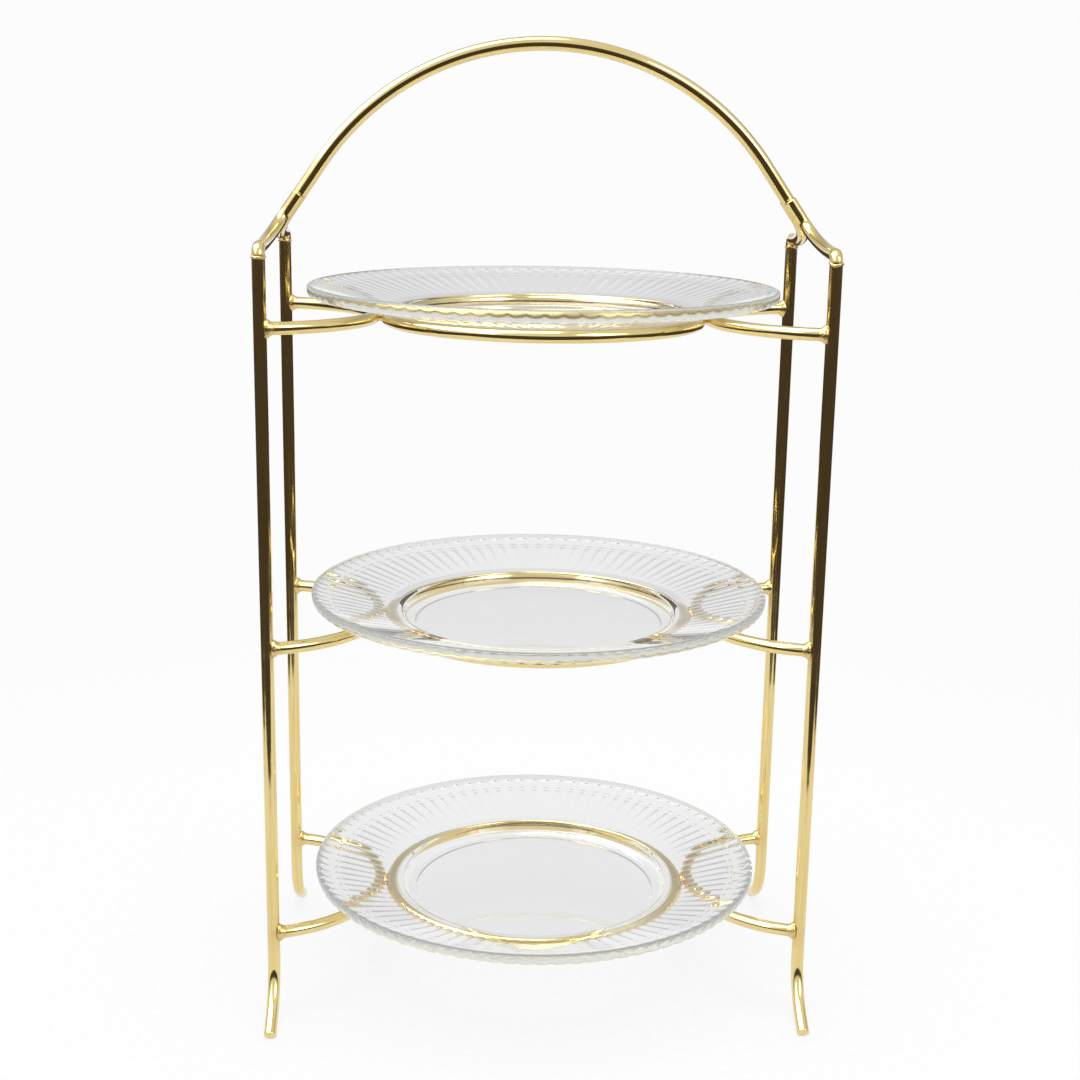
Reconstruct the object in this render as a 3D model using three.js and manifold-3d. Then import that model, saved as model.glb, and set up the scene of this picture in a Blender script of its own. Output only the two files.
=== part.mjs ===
// Three-tier cake stand: a welded frame of round rod that carries three loose glass plates.
// Millimetres, +Z up. The origin is on the floor under the middle of the stand, +X is its right
// and -Y its front.

import * as THREE from 'three';
import * as BufferGeometryUtils from 'three/addons/utils/BufferGeometryUtils.js';
import Module from 'manifold-3d';

const wasm = await Module();
wasm.setup();

// Driving dimensions

const ROD_RADIUS = 3.5;
const HANDLE_ROD_RADIUS = 3.8;
const WELD_GAP = 0.3; // clear space between two solids that a weld joins

const LEG_X = 150; // from the middle plane to the centre of a leg
const LEG_Y = 65;
const TIER_HEIGHTS = { bottom: 52, middle: 220, top: 394 }; // floor to the centre of each ring

const FOOT_BEND_START = 36; // height at which a leg begins to bend outwards
const FOOT_BEND_RADIUS = 32;
const FOOT_BEND_ANGLE = THREE.MathUtils.degToRad(60);
const FOOT_END_HEIGHT = 2.2; // height of the centre of the cut end

const ARM_LEVEL = 435.5; // height of the level end of a fork arm
const ELBOW_RADIUS = 4.6;
const ARM_LAP_LENGTH = 21; // how far an arm reaches up beside the handle
const ARM_STRAIGHT_LENGTH = 12;
const ARM_SWEEP_PULL = 12; // length of the handles that shape the sweep of an arm
const ARM_LEVEL_PULL = 24;

const ARCH_CENTRE_HEIGHT = 392.8;
const ARCH_RADIUS = 149;
const ARCH_END_ANGLE = THREE.MathUtils.degToRad(35); // above the horizontal, where the arc ends
const ARCH_STRAIGHT_LENGTH = 43;

const RING_RADIUS = 87;

const PLATE_RADIUS = 131;
const PLATE_SEAT_GAP = 0.3; // clear space between a plate and the ring under it
const PLATE_RIM_HEIGHT = 18.2; // top of the rim above the centre of the ring
const PLATE_EDGE_THICKNESS = 5.6;
const WELL_RADIUS = 76; // flat floor of the sunk centre
const WELL_FLOOR = -1.2; // top of that floor, from the centre of the ring
const WELL_THICKNESS = 3.2;
const WELL_WALL_RADIUS = 82; // outside of the wall of the well

// Facets

const ROD_SIDES = 10;
const RING_STEPS = 48;
const BRACKET_STEPS = 18;
const ARCH_STEPS = 30;
const FOOT_STEPS = 6;
const SWEEP_STEPS = 10;
const ELBOW_STEPS = 4;
const PLATE_STEPS = 48;

// Materials

const goldPlate = { color: 0xd8b355, metalness: 1.0, roughness: 0.12 };
const clearGlass = { color: 0xe4e8e8, metalness: 0.0, roughness: 0.04, transparent: true, opacity: 0.35 };

// A rod follows a chain of stations, each with its own point and direction, so that a straight
// length takes one step and only the bends take many.
class RodPath extends THREE.Curve {

	constructor( stations ) {

		super();
		this.stations = stations;

	}

	getUtoTmapping( u ) {

		return u;

	}

	getPoint( t, target = new THREE.Vector3() ) {

		const place = t * ( this.stations.length - 1 );
		const index = Math.min( Math.floor( place ), this.stations.length - 2 );
		const near = this.stations[ index ].point;
		const far = this.stations[ index + 1 ].point;
		return target.lerpVectors( near, far, place - index );

	}

	getTangent( t, target = new THREE.Vector3() ) {

		const index = Math.round( t * ( this.stations.length - 1 ) );
		return target.copy( this.stations[ index ].direction );

	}

}

function station( point, direction ) {

	return { point: point.clone(), direction: direction.clone().normalize() };

}

// Stations round an arc, which starts at centre + spoke and turns about the axis.
function arcStations( centre, spoke, axis, angle, steps ) {

	const stations = [];
	for ( let step = 0; step <= steps; step ++ ) {

		const turned = spoke.clone().applyAxisAngle( axis, angle * step / steps );
		const direction = axis.clone().cross( turned ).multiplyScalar( Math.sign( angle ) );
		stations.push( station( turned.clone().add( centre ), direction ) );

	}

	return stations;

}

function along( from, direction, length ) {

	return from.clone().addScaledVector( direction, length );

}

function mirrored( stations, sideX, sideY ) {

	const flip = new THREE.Vector3( sideX, sideY, 1 );
	return stations.map( ( { point, direction } ) =>
		station( point.clone().multiply( flip ), direction.clone().multiply( flip ) ) );

}

function rodSection( radius ) {

	const corners = [];
	for ( let side = 0; side < ROD_SIDES; side ++ ) {

		const angle = 2 * Math.PI * side / ROD_SIDES;
		corners.push( new THREE.Vector2( radius * Math.cos( angle ), radius * Math.sin( angle ) ) );

	}

	return new THREE.Shape( corners );

}

function bentRod( stations, radius ) {

	return new THREE.ExtrudeGeometry( rodSection( radius ), {
		steps: stations.length - 1,
		extrudePath: new RodPath( stations ),
	} );

}

function toManifold( geometry ) {

	const bare = geometry.clone();
	bare.deleteAttribute( 'normal' );
	bare.deleteAttribute( 'uv' );
	const merged = BufferGeometryUtils.mergeVertices( bare, 1e-4 );
	return new wasm.Manifold( new wasm.Mesh( {
		numProp: 3,
		vertProperties: new Float32Array( merged.attributes.position.array ),
		triVerts: new Uint32Array( merged.index.array ),
	} ) );

}

function toGeometry( solid ) {

	const mesh = solid.getMesh();
	const geometry = new THREE.BufferGeometry();
	geometry.setAttribute( 'position', new THREE.BufferAttribute( mesh.vertProperties, mesh.numProp ) );
	geometry.setIndex( new THREE.BufferAttribute( mesh.triVerts, 1 ) );
	geometry.computeVertexNormals();
	return geometry;

}

// Legs

// A leg is one upright rod. Its foot bends outwards and is ground flat where it meets the floor.
function legGeometry( sideX, sideY ) {

	const top = new THREE.Vector3( LEG_X, LEG_Y, ARM_LEVEL - ELBOW_RADIUS - WELD_GAP );
	const bendCentre = new THREE.Vector3( LEG_X, LEG_Y + FOOT_BEND_RADIUS, FOOT_BEND_START );
	const spoke = new THREE.Vector3( 0, - FOOT_BEND_RADIUS, 0 );
	const bend = arcStations( bendCentre, spoke, new THREE.Vector3( 1, 0, 0 ), FOOT_BEND_ANGLE, FOOT_STEPS );
	const last = bend[ bend.length - 1 ];
	const toeLength = ( last.point.z - FOOT_END_HEIGHT ) / Math.cos( FOOT_BEND_ANGLE );
	const stations = [
		station( top, new THREE.Vector3( 0, 0, - 1 ) ),
		...bend,
		station( along( last.point, last.direction, toeLength ), last.direction ),
	];
	const rod = toManifold( bentRod( mirrored( stations, sideX, sideY ), ROD_RADIUS ) );
	const floorDepth = 10;
	const floorBlock = new THREE.BoxGeometry( 4 * LEG_X, 4 * LEG_X, floorDepth );
	floorBlock.translate( 0, 0, - floorDepth / 2 );
	return toGeometry( rod.subtract( toManifold( floorBlock ) ) );

}

// Handle

// The handle is a round arch whose ends run straight down and outwards.
function handleStations() {

	const centre = new THREE.Vector3( 0, 0, ARCH_CENTRE_HEIGHT );
	const spoke = new THREE.Vector3( - Math.cos( ARCH_END_ANGLE ), 0, Math.sin( ARCH_END_ANGLE ) );
	spoke.multiplyScalar( ARCH_RADIUS );
	const sweep = Math.PI - 2 * ARCH_END_ANGLE;
	const arc = arcStations( centre, spoke, new THREE.Vector3( 0, 1, 0 ), sweep, ARCH_STEPS );
	const first = arc[ 0 ];
	const last = arc[ arc.length - 1 ];
	return [
		station( along( first.point, first.direction, - ARCH_STRAIGHT_LENGTH ), first.direction ),
		...arc,
		station( along( last.point, last.direction, ARCH_STRAIGHT_LENGTH ), last.direction ),
	];

}

// A fork arm lies beside the lower end of the handle, sweeps away from it until it is level,
// and turns down on the top of its leg.
function forkArmGeometry( sideX, sideY ) {

	const handleEnd = handleStations().at( - 1 );
	const lapOffset = HANDLE_ROD_RADIUS + ROD_RADIUS + WELD_GAP;
	const start = along( handleEnd.point, handleEnd.direction, - ARM_LAP_LENGTH );
	start.y = lapOffset;
	const sweepStart = along( start, handleEnd.direction, ARM_STRAIGHT_LENGTH );
	const outwards = new THREE.Vector3( 0, 1, 0 );
	const elbowStart = new THREE.Vector3( LEG_X, LEG_Y - ELBOW_RADIUS, ARM_LEVEL );
	const sweep = new THREE.CubicBezierCurve3(
		sweepStart,
		along( sweepStart, handleEnd.direction, ARM_SWEEP_PULL ),
		along( elbowStart, outwards, - ARM_LEVEL_PULL ),
		elbowStart,
	);
	const stations = [ station( start, handleEnd.direction ) ];
	for ( let step = 0; step < SWEEP_STEPS; step ++ ) {

		const t = step / SWEEP_STEPS;
		stations.push( station( sweep.getPoint( t ), sweep.getTangent( t ) ) );

	}

	const elbowCentre = along( elbowStart, new THREE.Vector3( 0, 0, - 1 ), ELBOW_RADIUS );
	const spoke = new THREE.Vector3( 0, 0, ELBOW_RADIUS );
	const axis = new THREE.Vector3( - 1, 0, 0 );
	stations.push( ...arcStations( elbowCentre, spoke, axis, Math.PI / 2, ELBOW_STEPS ) );
	return bentRod( mirrored( stations, sideX, sideY ), ROD_RADIUS );

}

// Rings and brackets

function ringGeometry() {

	return new THREE.TorusGeometry( RING_RADIUS, ROD_RADIUS, ROD_SIDES, RING_STEPS );

}

// A bracket is one rod bent to a round bow: its middle touches the side of the ring and its ends
// meet the inner sides of a front leg and a back leg.
function bracketGeometry( sideX ) {

	const bowX = RING_RADIUS + 2 * ROD_RADIUS + WELD_GAP;
	const endX = LEG_X - 1.3 * ROD_RADIUS - WELD_GAP;
	const depth = endX - bowX;
	const bowRadius = ( depth * depth + LEG_Y * LEG_Y ) / ( 2 * depth );
	const halfAngle = Math.asin( LEG_Y / bowRadius );
	const centre = new THREE.Vector3( bowX + bowRadius, 0, 0 );
	const spoke = new THREE.Vector3( - bowRadius * Math.cos( halfAngle ), LEG_Y, 0 );
	const axis = new THREE.Vector3( 0, 0, 1 );
	const stations = arcStations( centre, spoke, axis, 2 * halfAngle, BRACKET_STEPS );
	return bentRod( mirrored( stations, sideX, 1 ), ROD_RADIUS );

}

// Plates

// Section of a plate, from the middle of its underside round to the middle of its floor. Heights
// are measured from the centre of the ring that carries it.
function plateProfile() {

	const seat = ROD_RADIUS + PLATE_SEAT_GAP;
	const underside = WELL_FLOOR - WELL_THICKNESS;
	const edgeBottom = PLATE_RIM_HEIGHT - PLATE_EDGE_THICKNESS;
	return [
		[ 0, underside ],
		[ WELL_RADIUS - 1, underside ],
		[ WELL_WALL_RADIUS - 2, underside + 2 ],
		[ WELL_WALL_RADIUS, seat - 2.4 ],
		[ WELL_WALL_RADIUS + 1.6, seat ],
		[ RING_RADIUS + 1.5, seat + 0.1 ],
		[ PLATE_RADIUS - 3, edgeBottom - 1 ],
		[ PLATE_RADIUS - 0.8, edgeBottom + 0.2 ],
		[ PLATE_RADIUS, edgeBottom + 1.6 ],
		[ PLATE_RADIUS, PLATE_RIM_HEIGHT - 1.3 ],
		[ PLATE_RADIUS - 1.4, PLATE_RIM_HEIGHT ],
		[ PLATE_RADIUS - 4, PLATE_RIM_HEIGHT - 0.6 ],
		[ WELL_WALL_RADIUS - 1.2, seat + 1.6 ],
		[ WELL_WALL_RADIUS - 3, seat + 0.6 ],
		[ WELL_RADIUS + 1.4, WELL_FLOOR + 2 ],
		[ WELL_RADIUS - 0.6, WELL_FLOOR ],
		[ 0, WELL_FLOOR ],
	].map( ( [ radius, height ] ) => new THREE.Vector2( radius, height ) );

}

function plateGeometry() {

	const geometry = new THREE.LatheGeometry( plateProfile(), PLATE_STEPS );
	geometry.rotateX( Math.PI / 2 ); // the lathe turns about Y; stand it up on Z
	return geometry;

}

// Assembly

const cakeStand = new THREE.Group();

function addPiece( name, geometry, finish, height = 0 ) {

	const mesh = new THREE.Mesh( geometry, new THREE.MeshStandardMaterial( finish ) );
	mesh.name = name;
	mesh.position.z = height;
	cakeStand.add( mesh );

}

const SIDES_X = { left: - 1, right: 1 };
const SIDES_Y = { front: - 1, back: 1 };

for ( const [ depthName, sideY ] of Object.entries( SIDES_Y ) ) {

	for ( const [ sideName, sideX ] of Object.entries( SIDES_X ) ) {

		addPiece( `leg_${ depthName }_${ sideName }`, legGeometry( sideX, sideY ), goldPlate );
		addPiece( `fork_arm_${ depthName }_${ sideName }`, forkArmGeometry( sideX, sideY ), goldPlate );

	}

}

addPiece( 'handle_arch', bentRod( handleStations(), HANDLE_ROD_RADIUS ), goldPlate );

for ( const [ tier, height ] of Object.entries( TIER_HEIGHTS ) ) {

	addPiece( `ring_${ tier }`, ringGeometry(), goldPlate, height );
	for ( const [ sideName, sideX ] of Object.entries( SIDES_X ) ) {

		addPiece( `bracket_${ sideName }_${ tier }`, bracketGeometry( sideX ), goldPlate, height );

	}

	addPiece( `plate_${ tier }`, plateGeometry(), clearGlass, height );

}

export default cakeStand;
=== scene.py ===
# %% [markdown]
# # A three-tier cake stand
#
# The stand is a cage of polished, gold-plated round rod that carries three loose plates of
# pressed glass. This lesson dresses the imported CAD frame: every rod is bent again with smooth
# curves and rounded cut ends, the welds are added where the rods meet, and every plate is
# pressed again with the flutes under its rim. The frame stays where it is. Each new piece says
# which CAD node it stands for and which body it rides on, so the plates still lift off.

import math

import bmesh
import bpy
from mathutils import Matrix, Vector, noise


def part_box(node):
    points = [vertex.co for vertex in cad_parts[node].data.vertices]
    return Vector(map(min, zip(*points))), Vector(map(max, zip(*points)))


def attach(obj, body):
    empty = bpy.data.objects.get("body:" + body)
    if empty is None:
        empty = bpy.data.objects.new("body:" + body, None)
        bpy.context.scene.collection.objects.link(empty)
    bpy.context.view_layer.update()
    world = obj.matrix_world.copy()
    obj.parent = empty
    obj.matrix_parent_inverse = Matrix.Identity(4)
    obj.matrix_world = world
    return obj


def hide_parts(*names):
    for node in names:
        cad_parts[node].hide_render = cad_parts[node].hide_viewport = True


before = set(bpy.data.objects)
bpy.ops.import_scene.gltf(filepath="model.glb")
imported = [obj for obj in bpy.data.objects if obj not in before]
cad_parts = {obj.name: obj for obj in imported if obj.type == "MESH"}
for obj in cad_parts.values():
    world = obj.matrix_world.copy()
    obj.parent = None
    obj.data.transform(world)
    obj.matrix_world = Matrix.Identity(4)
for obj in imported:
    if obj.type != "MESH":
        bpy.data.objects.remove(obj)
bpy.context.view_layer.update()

# %% [markdown]
# ## Where things are
#
# Everything is in metres, with the floor at zero and the front towards -Y. The places come
# from the boxes of the CAD nodes. Only what a box can't tell, such as the radius of a bend, is
# repeated here from the drawing of the stand.

# %% Places from the CAD boxes
MM = 0.001
TIERS = ("bottom", "middle", "top")
SIDES_X = {"left": -1, "right": 1}
SIDES_Y = {"front": -1, "back": 1}


def middle(node):
    low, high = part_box(node)
    return (low + high) / 2


ROD_RADIUS = 3.5 * MM
HANDLE_ROD_RADIUS = 3.8 * MM
WELD_GAP = 0.3 * MM
LEG_X = middle("leg_front_right").x
LEG_Y = 65 * MM
TIER_HEIGHT = {tier: middle(f"ring_{tier}").z for tier in TIERS}
RING_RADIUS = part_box("ring_top")[1].x - ROD_RADIUS
LEG_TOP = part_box("leg_front_right")[1].z
print(f"legs at {LEG_X / MM:.1f} mm, {LEG_TOP / MM:.1f} mm high, ring radius {RING_RADIUS / MM:.1f} mm")

# %% Bends repeated from the drawing
FOOT_BEND_START = 36 * MM
FOOT_BEND_RADIUS = 32 * MM
FOOT_BEND_ANGLE = math.radians(60)
FOOT_END_HEIGHT = 2.2 * MM

ELBOW_RADIUS = 4.6 * MM
ARM_LEVEL = 435.5 * MM
ARM_LAP_LENGTH = 21 * MM
ARM_STRAIGHT_LENGTH = 12 * MM
ARM_SWEEP_PULL = 12 * MM
ARM_LEVEL_PULL = 24 * MM

ARCH_CENTRE = Vector((0, 0, 392.8 * MM))
ARCH_RADIUS = 149 * MM
ARCH_END_ANGLE = math.radians(35)
ARCH_STRAIGHT_LENGTH = 43 * MM

BOW_NEAR_X = RING_RADIUS + 2 * ROD_RADIUS + WELD_GAP
BOW_END_X = LEG_X - 1.3 * ROD_RADIUS - WELD_GAP
BOW_DEPTH = BOW_END_X - BOW_NEAR_X
BOW_RADIUS = (BOW_DEPTH**2 + LEG_Y**2) / (2 * BOW_DEPTH)
BOW_HALF_ANGLE = math.asin(LEG_Y / BOW_RADIUS)
print(f"a bow is {BOW_DEPTH / MM:.1f} mm deep, on a radius of {BOW_RADIUS / MM:.1f} mm")

# %% [markdown]
# ## The camera
#
# The stand is seen from the front, a little from the left and from above, with a lens that is
# slightly long for the frame. The camera is placed by its own three axes, because a small roll
# is easier to give that way than with Euler angles.

# %% Camera
CAMERA_PLACE = Vector((-0.0401, -0.9631, 0.5014))
CAMERA_YAW = 0.0419
CAMERA_PITCH = 0.2397
CAMERA_ROLL = 0.0163
LENS_MM = 57.24

ahead = Vector((
    math.sin(CAMERA_YAW) * math.cos(CAMERA_PITCH),
    math.cos(CAMERA_YAW) * math.cos(CAMERA_PITCH),
    -math.sin(CAMERA_PITCH),
))
level_right = Vector((math.cos(CAMERA_YAW), -math.sin(CAMERA_YAW), 0))
level_up = level_right.cross(ahead)
right = level_right * math.cos(CAMERA_ROLL) + level_up * math.sin(CAMERA_ROLL)
up = level_up * math.cos(CAMERA_ROLL) - level_right * math.sin(CAMERA_ROLL)

camera_data = bpy.data.cameras.new("camera")
camera_data.lens = LENS_MM
camera_data.sensor_width = 36
camera = bpy.data.objects.new("camera", camera_data)
turn = Matrix((right, up, -ahead)).transposed().to_4x4()
camera.matrix_world = Matrix.Translation(CAMERA_PLACE) @ turn
bpy.context.scene.collection.objects.link(camera)
bpy.context.scene.camera = camera
print("camera at", [round(v, 3) for v in CAMERA_PLACE])

# %% [markdown]
# ## Node helpers
#
# Every finish below is a small network of nodes. A node's input takes either a value or the
# output of another node, and the first helper accepts both. The others rest on it: they add a
# node with its settings, do sums, mix colours, or map a value from one span to another. The
# last ones make a node group with named sockets, for an effect that more than one finish uses.


# %% Helpers for nodes
def give(tree, socket, value):
    """Links value to the socket if it is another node's output, or else sets it there."""
    if isinstance(value, bpy.types.NodeSocket):
        tree.links.new(value, socket)
    else:
        socket.default_value = value


def add_node(tree, kind, inputs=None, **settings):
    node = tree.nodes.new(kind)
    for name, value in settings.items():
        setattr(node, name, value)
    for name, value in (inputs or {}).items():
        give(tree, node.inputs[name], value)
    return node


def span(tree, value, low, high, to_low, to_high):
    """value, mapped from low..high to to_low..to_high and held there."""
    node = add_node(tree, "ShaderNodeMapRange", {
        "Value": value, "From Min": low, "From Max": high, "To Min": to_low, "To Max": to_high,
    })
    return node.outputs["Result"]


def maths(tree, operation, first, second=0.0):
    node = add_node(tree, "ShaderNodeMath", {0: first, 1: second}, operation=operation)
    return node.outputs["Value"]


def mix_colours(tree, share, first, second):
    """first where share is zero and second where it is one."""
    node = add_node(tree, "ShaderNodeMix", {0: share, 6: first, 7: second}, data_type="RGBA")
    return node.outputs[2]


def scaled(tree, vector, scale):
    node = add_node(tree, "ShaderNodeMapping", {"Vector": vector, "Scale": scale})
    return node.outputs["Vector"]


def cloud(tree, vector, scale, detail=2.0, roughness=0.5):
    node = add_node(tree, "ShaderNodeTexNoise", {
        "Vector": vector, "Scale": scale, "Detail": detail, "Roughness": roughness,
    })
    return node.outputs["Fac"]


def new_group(name, inputs, outputs):
    tree = bpy.data.node_groups.new(name, "ShaderNodeTree")
    for socket_name, kind in inputs:
        tree.interface.new_socket(socket_name, in_out="INPUT", socket_type=kind)
    for socket_name, kind in outputs:
        tree.interface.new_socket(socket_name, in_out="OUTPUT", socket_type=kind)
    return tree, tree.nodes.new("NodeGroupInput"), tree.nodes.new("NodeGroupOutput")


def use_group(tree, group, inputs):
    return add_node(tree, "ShaderNodeGroup", inputs, node_tree=group)


def new_material(name):
    material = bpy.data.materials.new(name)
    material.use_nodes = True
    material.node_tree.nodes.clear()
    return material, material.node_tree


# %% [markdown]
# ## Two effects that both finishes share
#
# Metal and glass that are handled both carry faint marks: a little grease and dust that make
# the shine duller in soft patches. Both also have a surface that is not quite flat, the metal
# from bending and plating, the glass from the press. Each effect is one node group, so that
# the two finishes can use it at their own strength.


# %% Handling marks
def make_handling_marks():
    tree, given, out = new_group(
        "handling_marks",
        [("Vector", "NodeSocketVector"), ("Patch Scale", "NodeSocketFloat"),
         ("Speck Scale", "NodeSocketFloat")],
        [("Mask", "NodeSocketFloat"), ("Specks", "NodeSocketFloat")],
    )
    patches = add_node(tree, "ShaderNodeTexNoise", {
        "Vector": given.outputs["Vector"], "Scale": given.outputs["Patch Scale"],
        "Detail": 5.0, "Roughness": 0.62,
    })
    specks = add_node(tree, "ShaderNodeTexNoise", {
        "Vector": given.outputs["Vector"], "Scale": given.outputs["Speck Scale"], "Detail": 2.0,
    })
    tree.links.new(span(tree, patches.outputs["Fac"], 0.45, 0.75, 0.0, 1.0), out.inputs["Mask"])
    tree.links.new(span(tree, specks.outputs["Fac"], 0.70, 0.78, 0.0, 1.0), out.inputs["Specks"])
    return tree


handling_marks = make_handling_marks()
print(handling_marks.name, "has", len(handling_marks.nodes), "nodes")


# %% Soft unevenness
def make_soft_waves():
    tree, given, out = new_group(
        "soft_waves",
        [("Vector", "NodeSocketVector"), ("Wide Scale", "NodeSocketFloat"), ("Fine Scale", "NodeSocketFloat"),
         ("Fine Share", "NodeSocketFloat")],
        [("Height", "NodeSocketFloat")],
    )
    wide = add_node(tree, "ShaderNodeTexNoise", {
        "Vector": given.outputs["Vector"], "Scale": given.outputs["Wide Scale"], "Detail": 1.0,
    })
    fine = add_node(tree, "ShaderNodeTexNoise", {
        "Vector": given.outputs["Vector"], "Scale": given.outputs["Fine Scale"], "Detail": 2.0,
    })
    fine_part = maths(tree, "MULTIPLY", fine.outputs["Fac"], given.outputs["Fine Share"])
    tree.links.new(maths(tree, "ADD", wide.outputs["Fac"], fine_part), out.inputs["Height"])
    return tree


soft_waves = make_soft_waves()
print(soft_waves.name, "has", len(soft_waves.nodes), "nodes")

# %% [markdown]
# ## Gold plate
#
# The rods are drawn steel with a thin, bright layer of gold colour. Seen close up, the shine
# runs in fine lines along the rod, because the drawing die leaves them and the plating follows
# them. Next to a weld the colour is deeper and the shine duller. The lines have to follow the
# rod round its bends, so they read "rod_space": for every point, the place it had while the
# rod was still straight. The heat round the welds reads "weld_heat", which is one at a weld and
# falls to nothing within a centimetre. Both are written when the rods are bent. The scale of a
# noise is in ripples per metre, so the finest lines are well under a millimetre apart.

# %% Gold finish
GOLD_LIGHT = (0.88, 0.73, 0.35, 1)
GOLD_DEEP = (0.82, 0.65, 0.27, 1)
GOLD_HEATED = (0.70, 0.47, 0.20, 1)


def make_gold(name, line_depth, weld_skin):
    material, tree = new_material(name)
    out = add_node(tree, "ShaderNodeOutputMaterial")
    rod_space = add_node(tree, "ShaderNodeAttribute", attribute_name="rod_space").outputs["Vector"]
    heat = add_node(tree, "ShaderNodeAttribute", attribute_name="weld_heat").outputs["Fac"]
    place = add_node(tree, "ShaderNodeTexCoord").outputs["Object"]

    lines = cloud(tree, scaled(tree, rod_space, (1, 1, 0.012)), 2600, detail=3.0, roughness=0.6)
    broad_lines = cloud(tree, scaled(tree, rod_space, (1, 1, 0.03)), 800, detail=1.0)
    marks = use_group(tree, handling_marks, {
        "Vector": place, "Patch Scale": 38.0, "Speck Scale": 2400.0,
    })
    waves = use_group(tree, soft_waves, {
        "Vector": place, "Wide Scale": 85.0, "Fine Scale": 900.0, "Fine Share": 0.5 * weld_skin,
    })

    tone = mix_colours(tree, span(tree, broad_lines, 0.35, 0.65, 0.0, 1.0), GOLD_LIGHT, GOLD_DEEP)
    heat_share = span(tree, maths(tree, "MULTIPLY", heat, cloud(tree, place, 420)), 0.1, 0.6, 0.0, 0.75)
    colour = mix_colours(tree, heat_share, tone, GOLD_HEATED)

    line_rough = span(tree, lines, 0.35, 0.7, 0.055, 0.13)
    mark_rough = maths(tree, "MULTIPLY", marks.outputs["Mask"], 0.05)
    heat_rough = maths(tree, "MULTIPLY", heat, 0.12 + 0.10 * weld_skin)
    speck_rough = maths(tree, "MULTIPLY", marks.outputs["Specks"], 0.15)
    drawn_rough = maths(tree, "ADD", line_rough, mark_rough)
    rough = maths(tree, "ADD", drawn_rough, maths(tree, "ADD", heat_rough, speck_rough))

    line_bump = add_node(tree, "ShaderNodeBump", {
        "Strength": 1.0, "Distance": line_depth, "Height": broad_lines,
    })
    wave_bump = add_node(tree, "ShaderNodeBump", {
        "Strength": 1.0, "Distance": (0.08 + 0.3 * weld_skin) * MM, "Height": waves.outputs["Height"],
        "Normal": line_bump.outputs["Normal"],
    })
    shader = add_node(tree, "ShaderNodeBsdfPrincipled", {
        "Base Color": colour, "Metallic": 1.0, "Roughness": rough, "Normal": wave_bump.outputs["Normal"],
    })
    tree.links.new(shader.outputs["BSDF"], out.inputs["Surface"])
    return material


gold_plate = make_gold("gold_plate", line_depth=0.014 * MM, weld_skin=0.0)
gold_weld = make_gold("gold_weld", line_depth=0.0, weld_skin=1.0)
print(gold_plate.name, "has", len(gold_plate.node_tree.nodes), "nodes")

# %% [markdown]
# ## Clear glass
#
# The plates are pressed soda glass, clear with the faintest grey-green. A Principled shader
# with full transmission bends the light as glass does; the grey lines of the real plate then
# come from its shape, where the light is turned aside. The rim's edge is looked at along the
# glass and not across it, so its grey-green is stronger there, and its shine is softer, because
# the edge is where plates touch and rub. The distance from the plate's axis tells the material
# where the edge is. The press leaves a slightly wavy skin, and use leaves the same soft marks
# as on the metal, so both groups serve again.
#
# A shadow ray runs straight to its lamp and can't bend. To it, solid glass would be as dark as
# a stone, so it meets a clear sheet in its place, which keeps a little light back at each face.

# %% Glass finish
GLASS_CLEAR = (0.905, 0.91, 0.905, 1)
GLASS_TINT = (0.88, 0.885, 0.885, 1)
GLASS_EDGE = (0.66, 0.69, 0.67, 1)
EDGE_FROST = 0.24
EDGE_INSIDE = 127.6 * MM
EDGE_OUTSIDE = 129.2 * MM
LAMP_SHARE = (0.88, 0.88, 0.88, 1)


def make_glass(name):
    material, tree = new_material(name)
    out = add_node(tree, "ShaderNodeOutputMaterial")
    place = add_node(tree, "ShaderNodeTexCoord").outputs["Object"]
    marks = use_group(tree, handling_marks, {
        "Vector": place, "Patch Scale": 24.0, "Speck Scale": 1500.0,
    })
    waves = use_group(tree, soft_waves, {
        "Vector": place, "Wide Scale": 70.0, "Fine Scale": 420.0, "Fine Share": 0.12,
    })
    body_colour = mix_colours(tree, cloud(tree, place, 18.0), GLASS_CLEAR, GLASS_TINT)
    flat_place = scaled(tree, place, (1, 1, 0))
    from_axis = add_node(tree, "ShaderNodeVectorMath", {0: flat_place}, operation="LENGTH").outputs["Value"]
    at_edge = span(tree, from_axis, EDGE_INSIDE, EDGE_OUTSIDE, 0.0, 1.0)
    colour = mix_colours(tree, at_edge, body_colour, GLASS_EDGE)
    mark_rough = maths(tree, "MULTIPLY", marks.outputs["Mask"], 0.03)
    speck_rough = maths(tree, "MULTIPLY", marks.outputs["Specks"], 0.12)
    fire_polish = span(tree, at_edge, 0.0, 1.0, 0.008, EDGE_FROST)
    rough = maths(tree, "ADD", maths(tree, "ADD", fire_polish, mark_rough), speck_rough)
    bump = add_node(tree, "ShaderNodeBump", {
        "Strength": 1.0, "Distance": 0.05 * MM, "Height": waves.outputs["Height"],
    })
    shader = add_node(tree, "ShaderNodeBsdfPrincipled", {
        "Base Color": colour, "Metallic": 0.0, "Roughness": rough, "IOR": 1.5,
        "Transmission Weight": 1.0, "Normal": bump.outputs["Normal"],
    })
    clear_sheet = add_node(tree, "ShaderNodeBsdfTransparent", {"Color": LAMP_SHARE})
    path = add_node(tree, "ShaderNodeLightPath")
    both = add_node(tree, "ShaderNodeMixShader", {
        0: path.outputs["Is Shadow Ray"], 1: shader.outputs["BSDF"], 2: clear_sheet.outputs["BSDF"],
    })
    tree.links.new(both.outputs["Shader"], out.inputs["Surface"])
    return material


clear_glass = make_glass("clear_glass")
print(clear_glass.name, "has", len(clear_glass.node_tree.nodes), "nodes")

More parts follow.
